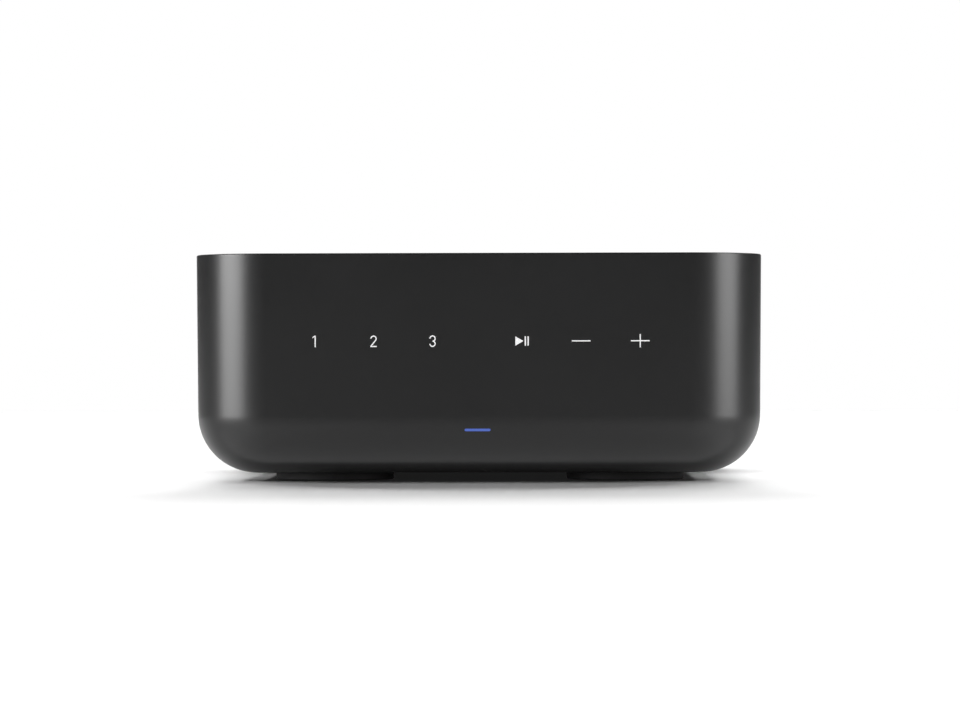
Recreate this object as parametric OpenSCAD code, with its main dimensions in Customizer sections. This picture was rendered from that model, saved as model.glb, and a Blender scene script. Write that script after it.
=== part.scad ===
// Compact network music streamer: a one-piece moulded tub with a flat lid and four rubber feet,
// touch symbols and a status light on the front, a recessed connector bay at the back, and the
// boards that make it work. Millimetres, +Z up. The front faces -Y, and the origin lies on the
// ground under the middle of the housing.

/* [Housing] */
// Width across the top rim
body_w = 180; // [178:1:230]
// Depth across the top rim
body_d = 180; // [176:1:230]
// Height of the housing without its feet
body_h = 69.2; // [66:0.1:90]
// Radius of the upright corners at the top rim
corner_r = 24; // [23:0.5:28]
// Radius between the walls and the base
base_r = 18.5; // [16:0.5:21.5]
// Lean of the walls from upright, in degrees
draft = 0.45; // [0.1:0.05:0.8]
// Thickness of the walls and the base
wall = 2.6; // [2.2:0.1:3.2]
// Radius on the outer edge of the top rim
rim_edge_r = 0.5; // [0.2:0.1:0.8]
// Thickness of the rim beside the cover
rim_t = 1.3; // [1:0.1:1.6]

/* [Cover and feet] */
// Thickness of the top cover
cover_t = 2.4; // [1.8:0.1:3.5]
// Clearance round the top cover
cover_gap = 0.25; // [0.15:0.05:0.5]
// Depth of the top cover below the rim
cover_sink = 0.2; // [0:0.1:0.8]
// Diameter of the screw posts under the cover
post_d = 8; // [7:0.5:9]
// Diameter of the screw pillars on the base
pillar_d = 9.5; // [9:0.5:12]
// Height of the screw pillars above the inner floor
pillar_h = 27; // [24:1:32]
// Height of a foot below the base
foot_h = 2.8; // [2:0.1:6]
// Diameter of a foot
foot_d = 38; // [24:1:40]
// Distance of a foot's middle from the sides of the rim
foot_inset = 43; // [42:0.5:46]
// Depth of the recess that a foot sits in
foot_sink = 0.8; // [0.5:0.1:1.2]
// Radius on the lower edge of a foot
foot_edge_r = 0.6; // [0.3:0.1:1]

/* [Front] */
// Distance of the symbol row below the rim
symbol_drop = 27.6; // [24:0.1:32]
// Distance between neighbouring symbols of a group
symbol_pitch = 18.45; // [14:0.05:20]
// Distance between the two groups, inner symbol to inner symbol
group_gap = 28; // [22:0.1:32]
// Height of a digit
digit_h = 3.6; // [2.5:0.1:5]
// Line thickness of the symbols
symbol_stroke = 0.42; // [0.4:0.02:0.8]
// Depth of a symbol in the wall
symbol_t = 0.4; // [0.2:0.05:0.8]
// Height of the status light above the base
light_rise = 13.8; // [12.6:0.1:16]
// Length of the status light
light_w = 8.1; // [5:0.1:12]
// Thickness of the status light
light_t = 0.85; // [0.6:0.05:1.6]

/* [Connector bay] */
// Depth of the bay from the rim's rear edge to the rear panel
bay_depth = 10; // [9:0.5:14]
// Height of the bay
bay_h = 36; // [34:0.5:38]
// Distance of the bay's lower edge below the boards' upper face
bay_drop = 4; // [3:0.5:5]
// Radius of the bay's corners
bay_r = 3; // [1:0.5:5]
// Thickness of the bay's collar
collar_t = 2; // [1.5:0.1:2.5]
// Thickness of the rear panel
panel_t = 2; // [1.5:0.1:3]
// Clearance round the rear panel and round what passes through it
panel_gap = 0.2; // [0.1:0.05:0.4]
// Gap between neighbouring connectors
connector_gap = 3; // [2.4:0.1:3.5]
// Room for the panel screw at each end of the row of connectors
bay_end = 8; // [7.5:0.1:9]
// Distance that the connectors stand out of the rear panel
proud = 0.3; // [0.1:0.1:0.6]

/* [Boards] */
// Height of the boards' lower face above the inner floor
board_lift = 20; // [18:0.5:22]
// Thickness of the boards
board_t = 1.6; // [1.2:0.1:2]
// Distance of the boards from the side walls
board_margin = 8; // [6:0.5:12]
// Depth of the main board
main_d = 108; // [104:1:118]
// Depth of the power board
power_d = 92; // [90:1:110]
// Height of the touch board
touch_h = 22; // [18:0.5:26]
// Thickness of the touch board
touch_t = 1.2; // [0.8:0.1:1.6]
// Depth of the light guides between the front wall and the touch board
guide_d = 3.2; // [2.4:0.1:4]

/* [Moving pieces] */
// Travel of the setup button
button_travel = 0.6; // [0.3:0.1:0.8]
// Diameter of the setup button
button_d = 5; // [4:0.1:6]
// Radial clearance of the setup button
button_gap = 0.3; // [0.2:0.05:0.5]
// Thickness of the optical socket's shutter
shutter_t = 0.8; // [0.6:0.05:0.9]
// Diameter of the shutter's hinge pins
shutter_pin_d = 1; // [0.8:0.05:1.2]
// Radial clearance of the shutter's hinge pins
shutter_pin_gap = 0.05; // [0.02:0.01:0.1]

/* [Hidden] */
$fn = 48;
eps = 0.01;
cut = 1; // how far a cutting shape runs past the face that it opens
fit = 0.05; // clearance between pieces that are pushed together

// Levels of the housing
base_z = foot_h;
floor_z = base_z + wall;
top_z = base_z + body_h;
cover_top = top_z - cover_sink;
cover_seat = cover_top - cover_t;
pillar_top = floor_z + pillar_h;
board_z = floor_z + board_lift;
board_top = board_z + board_t;
symbol_z = top_z - symbol_drop;
light_z = base_z + light_rise;
bay_z = board_top - bay_drop + bay_h / 2;

// Half section of the wall, measured from the axis of an upright corner
function wall_line(z, inset) = corner_r - (top_z - z) * tan(draft) - inset / cos(draft);
base_cx = wall_line(base_z + base_r, 0) - base_r / cos(draft);
lean = [cos(draft), -sin(draft)];
hx = body_w / 2 - corner_r;
hy = body_d / 2 - corner_r;
foot_x = body_w / 2 - foot_inset;
foot_y = body_d / 2 - foot_inset;
function side_x(z, inset = 0) = hx + wall_line(z, inset);
function front_y(z, inset = 0) = -(hy + wall_line(z, inset));

// Screws: [shank diameter, length, head diameter, head height]
cover_screw = [3, 16, 5.6, 2];
panel_screw = [3, 8, 5.6, 1.8];
board_screw = [2.5, 7, 4.6, 1.6];
touch_screw = [2, 4, 3.6, 1.2];
screw_gap = 0.2;
screw_fit = 0.05;
pillar_cap = 5;
head_seat = pillar_top - pillar_cap;
foot_gap = 0.2;

// Row of connectors at the back, from the mains side to the line inputs
mains_w = 21;
setup_w = 8;
usb_w = 14.4;
net_w = 16.2;
optical_w = 11.4;
line_w = 11;
row_widths = [mains_w, setup_w, usb_w, net_w, optical_w, line_w, line_w];
mains_slot = 0;
setup_slot = 1;
usb_slot = 2;
net_slot = 3;
optical_slot = 4;
line_out_slot = 5;
line_in_slot = 6;
function sum(list, n) = n <= 0 ? 0 : list[n - 1] + sum(list, n - 1);
row_w = sum(row_widths, len(row_widths)) + connector_gap * (len(row_widths) - 1);
bay_w = row_w + 2 * bay_end;
function row_x(i) = row_w / 2 - sum(row_widths, i) - i * connector_gap - row_widths[i] / 2;
panel_y = body_d / 2 - bay_depth;
panel_back = panel_y - panel_t;
panel_room = 2 * [panel_gap, panel_gap];
collar_y = -front_y(bay_z - bay_h / 2 - collar_t, wall / 2);
panel_screw_x = bay_w / 2 - bay_end / 2;
panel_boss_d = 9;
boss_gap = 1;

// Outlines of the two boards: [x0, x1, y0, y1]
board_side = side_x(board_z, wall) - board_margin;
board_gap = 0.6;
board_back = panel_back - board_gap;
edge_gap = 0.5;
main_edge = row_x(setup_slot) + setup_w / 2 + edge_gap;
power_edge = row_x(mains_slot) - mains_w / 2 - edge_gap;
main_rect = [-board_side, main_edge, board_back - main_d, board_back];
power_rect = [power_edge, board_side, board_back - power_d, board_back];
standoff_d = 7;
standoff_in = 6;
pillar_clear = 1;
pillar_room = 3.25;
standoff_y = foot_y - pillar_d / 2 - pillar_room - standoff_d / 2;
main_holes = [
    [main_rect[0] + standoff_in, main_rect[2] + standoff_in],
    [main_rect[0] + standoff_in, main_rect[3] - standoff_in],
    [main_rect[1] - standoff_in, main_rect[2] + standoff_in],
    [main_rect[1] - standoff_in, foot_y],
];
power_holes = [
    [power_rect[0] + standoff_in, power_rect[2] + standoff_in],
    [power_rect[1] - standoff_in, power_rect[2] + standoff_in],
    [power_rect[1] - standoff_in, power_rect[3] - standoff_in],
    [power_rect[0] + standoff_in, standoff_y],
];
pillar_spots = [for (sx = [-1, 1], sy = [-1, 1]) [sx * foot_x, sy * foot_y]];

// Touch board behind the front wall, in the frame of that wall
key_xs = [
    for (side = [-1, 1], i = [0:2])
        side * (group_gap / 2 + (side < 0 ? 2 - i : i) * symbol_pitch)
];
key_guide = 10;
key_light = [3, 2.6, 1];
key_light_gap = 0.3;
touch_post_d = 5.5;
touch_post_x = group_gap / 2 + 2 * symbol_pitch + key_guide / 2 + touch_post_d / 2 + 1.5;
touch_w = 2 * (touch_post_x + touch_post_d / 2 + 1);
touch_back = -(wall + guide_d + touch_t);
tongue_w = 18;
tongue_end = 2;
status_led = [5, 1.4, 1];

// Ribbon between the touch board and the main board
ribbon_w = 16;
ribbon_t = 0.3;
socket_touch = [20, 5, 2.5];
socket_main = [20, 5, 2.4];
ribbon_top = symbol_z - 5;
ribbon_low = board_top + socket_main[2] / 2;
ribbon_turn = (ribbon_top - ribbon_low) / 2;
ribbon_bend_y = front_y(ribbon_top) + 30;
ribbon_gap = 0.1;

// Line sockets
line_rise = [7, 20.5];
line_block = [line_w, 11, 27];
line_shell_r = 4.15;
line_bore_r = 3.5;
line_flange_r = 4.95;
line_flange_t = panel_t + 0.4;
line_len = 8.2;
line_tip = 0.3;
line_pin_r = 1.6;
line_contact_t = 0.4;

// Network socket, from the board's upper face
net_h = 13.6;
net_len = 16;
net_sheet = 0.4;
net_mouth = [11.9, 8.1, 12.5];
net_mouth_v = 3.6;
net_latch = [6.4, 1.7];
net_key = [4, 1];
net_light = [3, 2, 3];
net_light_at = [(net_latch[0] + net_light[0]) / 2 + 0.8, net_sheet + net_light[1] / 2 + 0.6];
net_pitch = 1.02;

// USB socket
usb_out = [13.2, 5.9, 14];
usb_sheet = 0.35;
usb_tongue_size = [11.2, 1.9, 8.2];
usb_tongue_v = 3.1;
usb_pitch = [-3.5, -1, 1, 3.5];

// Optical socket, from the middle of its mouth
optical_rise = 6.2;
optical_top = 6.4;
optical_len = 14;
optical_mouth = 4.2;
optical_room = 4.6;
optical_roof = 5.5;
optical_lip = 1;
optical_deep = 12;
optical_cut = 1.6;
shutter_gap = 0.3;
shutter_v = optical_roof - shutter_t / 2 - shutter_gap;
shutter_w = proud - optical_lip - shutter_gap - shutter_t / 2;
shutter_side = 0.15;
shutter_half = optical_room - shutter_side;
shutter_pin_len = 0.7;
emitter_r = 1.6;
emitter_len = 1.2;

// Setup button and its switch
setup_rise = 5;
button_proud = 1.2;
button_flange_d = button_d + 2.4;
button_flange_t = 1;
button_rest = 0.3;
button_back = panel_back - button_rest - button_flange_t;
plunger_d = 3.4;
plunger_len = 2.4;
plunger_gap = 0.3;
switch_size = [7.2, 6, 8.6];
switch_gap = 0.6;
switch_y = button_back - button_travel - switch_gap;

// Mains inlet
mains_h = 15;
mains_len = 17;
mains_pitch = 8.6;
mains_r = 3.6;
mains_waist = 5;
mains_deep = 12.5;
mains_pin_d = 2.36;
mains_pin_len = 9;

// Antennas on the side walls and their cables
antenna_size = [34, 9, 0.8];
antenna_y = -24;
antenna_z = board_top + 24;
radio_size = [26, 18, 2.6];
radio_at = [main_rect[0] + 22, main_rect[2] + 24];
coax_d = 1.3;
coax_gap = 0.15;
coax_end = side_x(antenna_z + coax_d, wall) - antenna_size[2] - coax_d / 2 - 2 * coax_gap;
coax_left = [
    [radio_at[0] - 6, radio_at[1], board_top + radio_size[2] + coax_d / 2 + coax_gap],
    [radio_at[0] - 12, radio_at[1] - 4, board_top + 8],
    [-coax_end + 6, antenna_y - 4, board_top + 14],
    [-coax_end + 1, antenna_y, antenna_z - 6],
    [-coax_end, antenna_y, antenna_z],
];
coax_room = 3.65;
coax_y = coax_room + pillar_d / 2 - foot_y;
coax_right = [
    [radio_at[0] + 6, radio_at[1], board_top + radio_size[2] + coax_d / 2 + coax_gap],
    [radio_at[0] + 14, radio_at[1] - 12, board_top + 9],
    [0, coax_y, board_top + 12],
    [power_rect[0] + 6, coax_y, board_top + 12],
    [coax_end - 6, antenna_y - 4, board_top + 14],
    [coax_end - 1, antenna_y, antenna_z - 6],
    [coax_end, antenna_y, antenna_z],
];

// Pieces on the main board: [x, y] of the middle
part_gap = 1;
processor_size = [22, 22, 1.6];
processor_at = [main_rect[1] - 42, main_rect[2] + 44];
sink_size = [30, 30, 11];
sink_base = 2.5;
sink_fins = 8;
sink_fin_t = 1.4;
chip_size = [10, 13, 1.2];
chip_spots = [
    [processor_at[0] + 24, processor_at[1] - 10],
    [processor_at[0] + 24, processor_at[1] + 8],
    [row_x(line_out_slot) - 2, foot_y - pillar_d / 2 - pillar_clear - part_gap - chip_size[1] / 2],
];
magnetics_size = [14, 10, 6];
cap_d = 6.3;
cap_h = 8;
cap_pitch = 8.5;
cap_x = processor_at[0] - sink_size[0] / 2 - part_gap - cap_d / 2;
cap_y = chip_spots[2][1] - chip_size[1] / 2 - part_gap - cap_d / 2;
cap_spots = [for (i = [0:4]) [cap_x - i * cap_pitch, cap_y]];

// Pieces on the power board
bulk_d = 16;
bulk_h = 26;
output_cap_d = 10;
output_cap_h = 16;
core_size = [27, 14, 22];
core_leg = 5;
coil_gap = 0.2;
fuse_size = [9, 4.5, 8];
choke_r = [3.5, 7.5];
choke_h = 8;
header_size = [6, 9, 6];
edge_room = 2;
output_gap = 0.5;
inlet_front = panel_y + proud - mains_len;
fuse_at = [
    row_x(mains_slot) - (mains_w - fuse_size[0]) / 2,
    inlet_front - part_gap - fuse_size[1] / 2,
];
choke_at = [power_rect[1] - edge_room - choke_r[1], inlet_front - part_gap - choke_r[1]];
bulk_at = [
    power_rect[1] - edge_room - bulk_d / 2,
    choke_at[1] - choke_r[1] - part_gap - bulk_d / 2,
];
output_y = standoff_y - board_screw[2] / 2 - part_gap - output_cap_d / 2;
output_spots = [
    for (i = [0, 1])
        [power_rect[0] + part_gap + output_cap_d / 2 + i * (output_cap_d + output_gap), output_y]
];
header_y = output_y - output_cap_d / 2 - part_gap - header_size[1] / 2;
header_in = 6.5;
core_at = [
    power_rect[1] - edge_room - core_size[0] / 2,
    power_rect[2] + standoff_in + board_screw[2] / 2 + part_gap + core_size[1] / 2,
];
wire_d = 1.4;
wire_pitch = 2.5;

// Frames that pieces are placed in

// On the front wall: x across, y up the wall, z out of it
module at_front(x, z)
    translate([x, front_y(z), z]) rotate([90 + draft, 0, 0]) children();

// On a side wall: side is -1 for the left and 1 for the right
module at_side(side, y, z)
    translate([side * side_x(z), y, z]) rotate([90 + draft, 0, side * 90]) children();

// On the rear panel's outer face: x to the right as seen from behind, y up, z out of the back
module at_rear(x, z)
    translate([x, panel_y, z]) rotate([90, 0, 180]) children();

// Shared shapes

module round_rect(w, h, r) {
    square([w - 2 * r, h], center = true);
    square([w, h - 2 * r], center = true);
    for (sx = [-1, 1], sy = [-1, 1])
        translate([sx * (w / 2 - r), sy * (h / 2 - r)]) circle(r);
}

// A block that is centred across and stands on its origin
module block(size)
    translate([-size[0] / 2, -size[1] / 2, 0]) cube(size);

// A screw that points down, with the underside of its head at the origin
module screw(s) {
    translate([0, 0, -s[1]]) cylinder(d = s[0], h = s[1]);
    difference() {
        cylinder(d = s[2], h = s[3]);
        for (a = [0, 90])
            rotate(a) translate([0, 0, s[3]]) cube([s[2] * 0.62, s[0] * 0.22, s[3]], center = true);
    }
}

// Carries a half section round the plan of the housing, and fills the middle from z0 to z1
module plan_sweep(z0, z1) {
    for (c = [[1, 1, 0], [-1, 1, 90], [-1, -1, 180], [1, -1, 270]])
        translate([c[0] * hx, c[1] * hy, 0]) rotate(c[2]) rotate_extrude(angle = 90) children();
    for (turn = [0, 180])
        rotate(turn) {
            translate([hx, 0, 0]) rotate([90, 0, 0]) linear_extrude(2 * hy, center = true) children();
            translate([0, hy, 0]) rotate([90, 0, 90]) linear_extrude(2 * hx, center = true) children();
        }
    translate([-hx, -hy, z0]) cube([2 * hx, 2 * hy, z1 - z0]);
}

// Rounded foot of the wall's section, inset from the outside
module base_sector(r)
    translate([base_cx, base_z + base_r])
        intersection() {
            circle(r);
            translate([0, -r]) square([r, r]);
        }

module outer_section() {
    rim_z = top_z - rim_edge_r;
    rim_x = wall_line(rim_z, 0) - rim_edge_r / cos(draft);
    polygon([
        [0, base_z],
        [base_cx, base_z],
        [base_cx, base_z + base_r] + base_r * lean,
        [rim_x, rim_z] + rim_edge_r * lean,
        [rim_x, top_z],
        [0, top_z],
    ]);
    base_sector(base_r);
    translate([rim_x, rim_z]) circle(rim_edge_r);
}

module inner_section(inset) {
    polygon([
        [0, base_z + inset],
        [base_cx, base_z + inset],
        [base_cx, base_z + base_r] + (base_r - inset) * lean,
        [wall_line(top_z + cut, inset), top_z + cut],
        [0, top_z + cut],
    ]);
    base_sector(base_r - inset);
}

// Straight stretch of the wall's section between two levels
module band_section(z0, z1, inset)
    polygon([[0, z0], [wall_line(z0, inset), z0], [wall_line(z1, inset), z1], [0, z1]]);

module housing_outer()
    plan_sweep(base_z, top_z) outer_section();

// Symbols of the touch keys, centred on their fields

ring_r = (digit_h + symbol_stroke) / 4;

module digit_ring()
    difference() {
        circle(ring_r);
        circle(ring_r - symbol_stroke);
    }

module symbol_one() {
    flag = [0.7, 0.5];
    translate([0, -digit_h / 2]) square([symbol_stroke, digit_h]);
    polygon([
        [0, digit_h / 2], [0, digit_h / 2 - symbol_stroke],
        [-flag[0], digit_h / 2 - symbol_stroke - flag[1]], [-flag[0], digit_h / 2 - flag[1]],
    ]);
}

function arc_points(middle, r, from, to, steps) =
    [for (i = [0:steps]) let (a = from + (to - from) * i / steps) middle + r * [cos(a), sin(a)]];

module symbol_two() {
    end = -35;
    low = -digit_h / 2;
    middle = [0, digit_h / 2 - ring_r];
    polygon(concat(
        arc_points(middle, ring_r, 180, end, 24),
        [
            [1.2 * symbol_stroke - ring_r, low + symbol_stroke],
            [ring_r, low + symbol_stroke],
            [ring_r, low],
            [-ring_r, low],
            [-ring_r, low + 1.1 * symbol_stroke],
        ],
        arc_points(middle, ring_r - symbol_stroke, end, 180, 16)
    ));
}

module symbol_three()
    for (side = [-1, 1])
        translate([0, side * (digit_h / 2 - ring_r)])
            difference() {
                digit_ring();
                translate([-2 * ring_r, side > 0 ? -2 * ring_r : 0]) square(2 * ring_r);
            }

module symbol_play_pause() {
    play = [2.5, 2.9];
    bar = 0.42;
    gaps = [0.4, 0.46];
    total = play[0] + 2 * bar + gaps[0] + gaps[1];
    translate([-total / 2, -play[1] / 2]) {
        polygon([[0, 0], [play[0], play[1] / 2], [0, play[1]]]);
        for (i = [0, 1])
            translate([play[0] + gaps[0] + i * (bar + gaps[1]), 0]) square([bar, play[1]]);
    }
}

sign_w = 5.85;
sign_h = 4.15;

module symbol_minus()
    square([sign_w, symbol_stroke], center = true);

module symbol_plus() {
    symbol_minus();
    square([symbol_stroke, sign_h], center = true);
}

module symbol(i) {
    if (i == 0) symbol_one();
    if (i == 1) symbol_two();
    if (i == 2) symbol_three();
    if (i == 3) symbol_play_pause();
    if (i == 4) symbol_minus();
    if (i == 5) symbol_plus();
}

module symbol_solids(over)
    for (i = [0:5])
        at_front(0, symbol_z) translate([key_xs[i], 0, -symbol_t])
            linear_extrude(symbol_t + over) symbol(i);

// Bar of the status light, running back from the front
module light_bar(gap, len)
    translate([0, front_y(light_z) - cut, light_z]) rotate([-90, 0, 0]) linear_extrude(len + cut) {
        square([light_w - light_t, light_t + 2 * gap], center = true);
        for (side = [-1, 1])
            translate([side * (light_w - light_t) / 2, 0]) circle(light_t / 2 + gap);
    }

// Housing, cover, panel and feet

module bay_outline(over)
    round_rect(bay_w + 2 * over, bay_h + 2 * over, bay_r + over);

module collar() {
    boss_in = bay_end - boss_gap;
    boss_len = panel_screw[1];
    translate([0, panel_back, bay_z]) rotate([-90, 0, 0])
        linear_extrude(collar_y - panel_back) bay_outline(collar_t);
    for (side = [-1, 1])
        translate([side * (bay_w + collar_t - boss_in) / 2, panel_back - boss_len, bay_z])
            translate([-(boss_in + collar_t) / 2, 0, -panel_boss_d / 2])
                cube([boss_in + collar_t, boss_len + cut, panel_boss_d]);
}

module bay_cut()
    translate([0, panel_back, bay_z]) rotate([-90, 0, 0]) linear_extrude(bay_depth + panel_t + cut)
        bay_outline(0);

module inner_posts() {
    for (p = pillar_spots)
        translate([p[0], p[1], base_z]) cylinder(d = pillar_d, h = pillar_top - base_z);
    for (p = concat(main_holes, power_holes))
        translate([p[0], p[1], base_z]) cylinder(d = standoff_d, h = board_z - base_z);
}

module touch_posts()
    at_front(0, symbol_z)
        for (side = [-1, 1])
            translate([side * touch_post_x, 0, -(wall + guide_d)])
                cylinder(d = touch_post_d, h = wall / 2 + guide_d);

module housing() {
    color([0.09, 0.09, 0.09])
        difference() {
            union() {
                difference() {
                    housing_outer();
                    plan_sweep(floor_z, top_z + cut) inner_section(wall);
                    plan_sweep(cover_seat, top_z + cut) band_section(cover_seat, top_z + cut, rim_t);
                }
                intersection() {
                    inner_posts();
                    plan_sweep(base_z + wall / 2, top_z + cut) inner_section(wall / 2);
                }
                collar();
                touch_posts();
            }
            bay_cut();
            for (side = [-1, 1])
                translate([side * panel_screw_x, panel_back, bay_z]) rotate([90, 0, 0])
                    cylinder(d = panel_screw[0] + 2 * screw_fit, h = panel_screw[1] - panel_t + cut / 2);
            for (p = pillar_spots) {
                translate([p[0], p[1], base_z - cut]) {
                    cylinder(d = foot_d + 2 * foot_gap, h = foot_sink + cut);
                    cylinder(d = cover_screw[2] + 4 * screw_gap, h = head_seat - base_z + cut);
                    cylinder(d = cover_screw[0] + 2 * screw_gap, h = pillar_top - base_z + 2 * cut);
                }
            }
            for (p = concat(main_holes, power_holes))
                translate([p[0], p[1], board_top - board_screw[1] - cut])
                    cylinder(d = board_screw[0] + 2 * screw_fit, h = board_screw[1] + cut);
            at_front(0, symbol_z)
                for (side = [-1, 1])
                    translate([side * touch_post_x, 0, touch_back])
                        cylinder(d = touch_screw[0] + 2 * screw_fit, h = touch_screw[1] + cut / 4);
            symbol_solids(cut);
            light_bar(fit, wall + 3 * cut);
        }
}

module top_cover() {
    color([0.1, 0.1, 0.1])
        difference() {
            union() {
                plan_sweep(cover_seat, cover_top) band_section(cover_seat, cover_top, rim_t + cover_gap);
                for (p = pillar_spots)
                    translate([p[0], p[1], pillar_top])
                        cylinder(d = post_d, h = cover_seat - pillar_top + eps);
            }
            for (p = pillar_spots)
                translate([p[0], p[1], pillar_top - cut])
                    cylinder(d = cover_screw[0] + 2 * screw_fit, h = cover_screw[1] - pillar_cap + 2 * cut);
        }
}

// Outlines of the openings for the connectors, each from its own place on the panel
module panel_openings() {
    at_rear(row_x(mains_slot), board_top)
        panel_hole() translate([0, mains_h / 2]) square([mains_w, mains_h] + panel_room, center = true);
    at_rear(row_x(setup_slot), board_top + setup_rise)
        panel_hole() circle(button_d / 2 + button_gap);
    at_rear(row_x(usb_slot), board_top)
        panel_hole() translate([0, usb_out[1] / 2])
            square([usb_out[0], usb_out[1]] + panel_room, center = true);
    at_rear(row_x(net_slot), board_top)
        panel_hole() translate([0, net_h / 2]) square([net_w, net_h] + panel_room, center = true);
    at_rear(row_x(optical_slot), board_top + optical_rise)
        panel_hole() translate([-optical_w / 2 - panel_gap, -optical_rise - panel_gap])
            square([optical_w, optical_rise + optical_top] + panel_room);
    for (i = [line_out_slot, line_in_slot], rise = line_rise)
        at_rear(row_x(i), board_top + rise) panel_hole() circle(line_flange_r + panel_gap);
    for (side = [-1, 1])
        at_rear(side * panel_screw_x, bay_z) panel_hole() circle(panel_screw[0] / 2 + screw_gap);
}

module panel_hole()
    translate([0, 0, -panel_t - cut]) linear_extrude(panel_t + 2 * cut) children();

module rear_panel() {
    color([0.12, 0.12, 0.12])
        difference() {
            at_rear(0, bay_z) translate([0, 0, -panel_t]) linear_extrude(panel_t) bay_outline(-panel_gap);
            panel_openings();
        }
}

module foot(sx, sy) {
    r = foot_d / 2;
    color([0.05, 0.05, 0.05])
        translate([sx * foot_x, sy * foot_y, 0])
            rotate_extrude() {
                square([r - foot_edge_r, foot_h + foot_sink]);
                translate([0, foot_edge_r]) square([r, foot_h + foot_sink - foot_edge_r]);
                translate([r - foot_edge_r, foot_edge_r]) circle(foot_edge_r);
            }
}

module cover_screws() {
    color([0.55, 0.55, 0.57])
        for (p = pillar_spots)
            translate([p[0], p[1], head_seat]) rotate([180, 0, 0]) screw(cover_screw);
}

module rear_panel_screws() {
    color([0.08, 0.08, 0.08])
        for (side = [-1, 1])
            at_rear(side * panel_screw_x, bay_z) screw(panel_screw);
}

// Front controls

module key_symbols() {
    color([0.95, 0.95, 0.95]) symbol_solids(0);
}

module status_light_guide() {
    back = wall + guide_d - status_led[2] - ribbon_gap;
    color([0.3, 0.42, 0.85])
        intersection() {
            light_bar(0, back);
            housing_outer();
        }
}

module touch_board() {
    tongue_h = symbol_z - light_z + tongue_end;
    color([0.05, 0.2, 0.12])
        at_front(0, symbol_z)
            difference() {
                translate([0, 0, touch_back]) {
                    block([touch_w, touch_h, touch_t]);
                    translate([-tongue_w / 2, -tongue_h, 0]) cube([tongue_w, tongue_h, touch_t]);
                }
                for (side = [-1, 1])
                    translate([side * touch_post_x, 0, touch_back - cut])
                        cylinder(d = touch_screw[0] + 2 * screw_gap, h = touch_t + 2 * cut);
            }
}

module touch_light_guides() {
    pocket = key_light + [2, 2, 1] * key_light_gap;
    color([0.9, 0.9, 0.88])
        at_front(0, symbol_z)
            for (x = key_xs)
                translate([x, 0, -wall - guide_d])
                    difference() {
                        block([key_guide, key_guide, guide_d]);
                        translate([0, 0, -cut]) block(pocket + [0, 0, cut]);
                    }
}

module touch_lights() {
    color([0.95, 0.93, 0.8])
        at_front(0, symbol_z)
            for (x = key_xs)
                translate([x, 0, -wall - guide_d]) block(key_light);
}

module status_light() {
    color([0.8, 0.85, 0.95])
        at_front(0, symbol_z)
            translate([0, light_z - symbol_z, -wall - guide_d]) block(status_led);
}

module touch_board_screws() {
    color([0.6, 0.6, 0.62])
        at_front(0, symbol_z)
            for (side = [-1, 1])
                translate([side * touch_post_x, 0, touch_back]) rotate([180, 0, 0]) screw(touch_screw);
}

// Strip of the ribbon in its own plane: y to the right, z up
module ribbon_strip() {
    start = front_y(ribbon_top) - touch_back + socket_touch[2] + ribbon_gap;
    stop = main_rect[2] + 1 - ribbon_gap;
    translate([start, ribbon_top - ribbon_t / 2]) square([ribbon_bend_y - start, ribbon_t]);
    translate([ribbon_bend_y + 2 * ribbon_turn, ribbon_low - ribbon_t / 2])
        square([stop - ribbon_bend_y - 2 * ribbon_turn, ribbon_t]);
    for (side = [0, 1])
        translate([ribbon_bend_y + side * 2 * ribbon_turn, ribbon_low + ribbon_turn])
            intersection() {
                difference() {
                    circle(ribbon_turn + ribbon_t / 2);
                    circle(ribbon_turn - ribbon_t / 2);
                }
                rotate(side * 180) square(2 * ribbon_turn);
            }
}

module ribbon_cable() {
    color([0.85, 0.86, 0.88])
        rotate([90, 0, 90]) linear_extrude(ribbon_w, center = true) ribbon_strip();
}

module ribbon_sockets() {
    color([0.9, 0.88, 0.8]) {
        at_front(0, ribbon_top)
            translate([0, 0, touch_back - socket_touch[2]]) block(socket_touch);
        translate([0, main_rect[2] + 1 + socket_main[1] / 2, board_top]) block(socket_main);
    }
}

// Main board and what is on it

module board(rect, holes) {
    difference() {
        translate([rect[0], rect[2], board_z]) cube([rect[1] - rect[0], rect[3] - rect[2], board_t]);
        for (p = holes)
            translate([p[0], p[1], board_z - cut])
                cylinder(d = board_screw[0] + 2 * screw_gap, h = board_t + 2 * cut);
        for (p = pillar_spots)
            translate([p[0], p[1], board_z - cut])
                cylinder(d = pillar_d + 2 * pillar_clear, h = board_t + 2 * cut);
    }
}

module on_board(spot)
    translate([spot[0], spot[1], board_top]) children();

module main_board() {
    color([0.04, 0.22, 0.12]) board(main_rect, main_holes);
}

module board_screws() {
    color([0.6, 0.6, 0.62])
        for (p = concat(main_holes, power_holes)) on_board(p) screw(board_screw);
}

module processor() {
    color([0.12, 0.12, 0.13]) on_board(processor_at) block(processor_size);
}

module heat_sink() {
    pitch = (sink_size[0] - sink_fin_t) / (sink_fins - 1);
    color([0.7, 0.71, 0.72])
        on_board(processor_at) translate([0, 0, processor_size[2]]) {
            block([sink_size[0], sink_size[1], sink_base]);
            for (i = [0:sink_fins - 1])
                translate([i * pitch - sink_size[0] / 2, -sink_size[1] / 2, 0])
                    cube([sink_fin_t, sink_size[1], sink_size[2]]);
        }
}

module board_chips() {
    color([0.1, 0.1, 0.11])
        for (p = chip_spots) on_board(p) block(chip_size);
}

module radio_module() {
    color([0.75, 0.75, 0.76]) on_board(radio_at) block(radio_size);
}

module network_transformer() {
    color([0.1, 0.1, 0.1])
        on_board([row_x(net_slot), panel_y - net_len - magnetics_size[1] / 2 - 4]) block(magnetics_size);
}

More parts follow.
